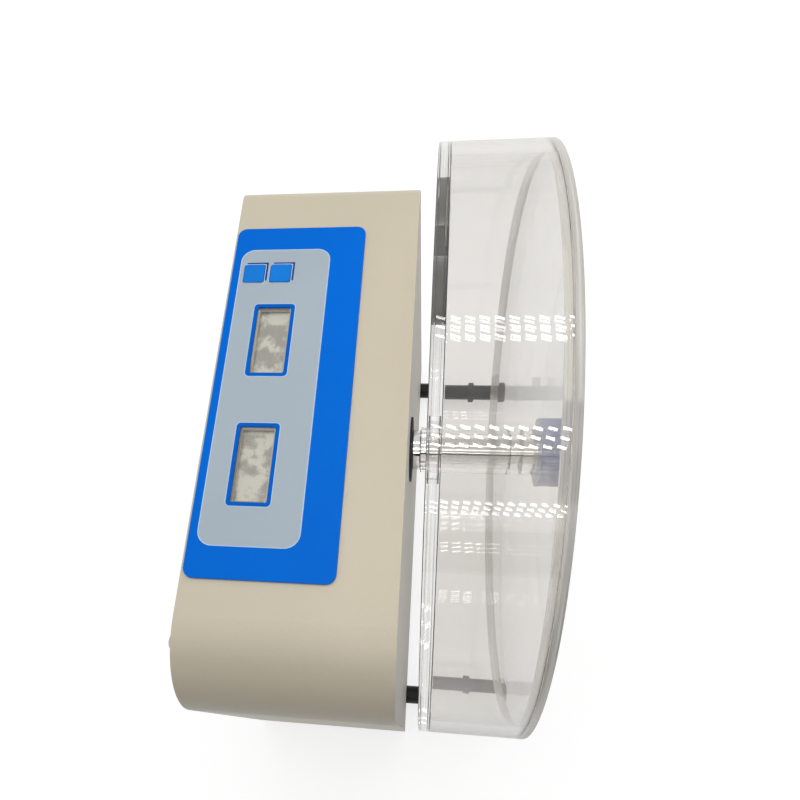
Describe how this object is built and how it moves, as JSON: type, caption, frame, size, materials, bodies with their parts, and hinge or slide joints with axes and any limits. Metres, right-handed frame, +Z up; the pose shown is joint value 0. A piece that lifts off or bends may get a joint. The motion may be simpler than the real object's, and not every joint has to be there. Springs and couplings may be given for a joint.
{
  "type": "tablet friability tester",
  "caption": "Bench drum tester: clear round drum with a curved paddle on a horizontal shaft, beige sheet-metal drive case with label, displays and keys, on support rods.",
  "frame": {"origin": "middle of the footprint's bounding box, on the bench", "axes": "+X machine's right, -Y the drum's front, +Z up; the drum's shaft lies along Y"},
  "size_m": [0.296, 0.1962, 0.3],
  "materials": {
    "cover_paint": "fine orange-peel beige powder coat",
    "plate_paint": "glossy light warm grey paint",
    "clear_acrylic": "clear polished acrylic",
    "knob_blue": "moulded blue plastic",
    "label_blue": "printed blue film with a grey-blue field",
    "key_blue": "blue key caps",
    "polished_steel": "polished steel",
    "bearing_steel": "ground bearing steel",
    "zinc_steel": "zinc-plated steel",
    "cast_aluminium": "turned aluminium",
    "black_steel": "black oxide steel",
    "black_rubber": "black rubber",
    "black_plastic": "black moulded plastic",
    "brass": "plain brass",
    "board_green": "green circuit board",
    "display_grey": "silvery grey display frame",
    "display_glass": "silvery display glass",
    "core_steel": "varnished laminations",
    "winding_wrap": "amber winding wrap"
  },
  "bodies": {
    "case": {"cover_shell": "cover_paint", "front_plate": "plate_paint", "back_plate": "plate_paint", "base_tray": "zinc_steel", "rubber_feet": "black_rubber", "foot_screws": "zinc_steel", "back_plate_screws": "zinc_steel", "support_rods": "black_steel", "rod_rings": "black_rubber", "rod_end_caps": "black_rubber", "rod_saddles": "cast_aluminium", "rod_set_screws": "zinc_steel", "shaft_washer": "black_rubber", "bearing_housing": "cast_aluminium", "housing_nuts": "zinc_steel", "bearing_outer_rings": "bearing_steel", "bearing_balls": "polished_steel", "retaining_ring": "black_steel", "drive_belt": "black_rubber", "motor_gearbox": "cast_aluminium", "motor_can": "zinc_steel", "motor_bracket": "zinc_steel", "bracket_screws": "zinc_steel", "optical_sensor": "black_plastic", "control_label": "label_blue", "display_windows": "clear_acrylic", "display_modules": "display_grey", "display_glasses": "display_glass", "display_board": "board_green", "board_posts": "brass", "key_switches": "black_plastic", "main_board": "board_green", "main_board_parts": "black_plastic", "transformer_core": "core_steel", "transformer_winding": "winding_wrap", "mains_inlet": "black_plastic", "inlet_pins": "brass", "power_switch_frame": "black_plastic", "fuse_holder": "black_plastic"},
    "drum": {"drum_rear_disc": "clear_acrylic", "drum_rim": "clear_acrylic", "drum_paddle": "clear_acrylic", "hub_tube": "clear_acrylic", "drive_shaft": "polished_steel", "drive_collar": "polished_steel", "drive_dowels": "polished_steel", "bearing_inner_rings": "bearing_steel", "driven_pulley": "cast_aluminium", "encoder_disc": "black_plastic"},
    "lid": {"drum_lid": "clear_acrylic", "lid_boss": "clear_acrylic"},
    "washer": {"clamp_washer": "polished_steel"},
    "knob": {"drum_knob": "knob_blue", "knob_insert": "brass"},
    "motor": {"motor_shaft": "zinc_steel", "motor_pulley": "cast_aluminium"},
    "start": {"start_key": "key_blue"},
    "setting": {"setting_key": "key_blue"},
    "rocker": {"power_rocker": "black_plastic"},
    "cap": {"fuse_cap": "black_plastic"}
  },
  "joints": [
    {"name": "drum_spin", "type": "hinge", "parent": "case", "child": "drum", "pos_m": [0, -0.05, 0.152], "axis": [0, -1, 0], "continuous": true},
    {"name": "motor_spin", "type": "hinge", "parent": "case", "child": "motor", "pos_m": [0, 0.05, 0.078], "axis": [0, -1, 0], "continuous": true},
    {"name": "knob_turn", "type": "hinge", "parent": "washer", "child": "knob", "pos_m": [0, -0.09, 0.152], "axis": [0, -1, 0], "range_deg": [0, 2880]},
    {"name": "washer_slide", "type": "slide", "parent": "drum", "child": "washer", "axis": [0, -1, 0], "range_m": [0, 0.012]},
    {"name": "lid_slide", "type": "slide", "parent": "drum", "child": "lid", "axis": [0, -1, 0], "range_m": [0, 0.012]},
    {"name": "start_key_press", "type": "slide", "parent": "case", "child": "start", "axis": [0, 0, -1], "range_m": [0, 0.0005], "stiffness_N_per_m": 600, "springref_m": -0.001},
    {"name": "setting_key_press", "type": "slide", "parent": "case", "child": "setting", "axis": [0, 0, -1], "range_m": [0, 0.0005], "stiffness_N_per_m": 600, "springref_m": -0.001},
    {"name": "rocker_tilt", "type": "hinge", "parent": "case", "child": "rocker", "pos_m": [0.046, 0.08515, 0.052], "axis": [1, 0, 0], "range_deg": [0, 16]},
    {"name": "fuse_cap_turn", "type": "hinge", "parent": "case", "child": "cap", "pos_m": [0.136, 0.0941, 0.052], "axis": [0, -1, 0], "range_deg": [0, 90]}
  ],
  "couplings": [
    {"joint": "motor_spin", "follows": "drum_spin", "ratio": 2},
    {"joint": "washer_slide", "follows": "lid_slide", "ratio": 1},
    {"joint": "knob_turn", "follows": "lid_slide", "rad_per_m": 4188.8}
  ]
}
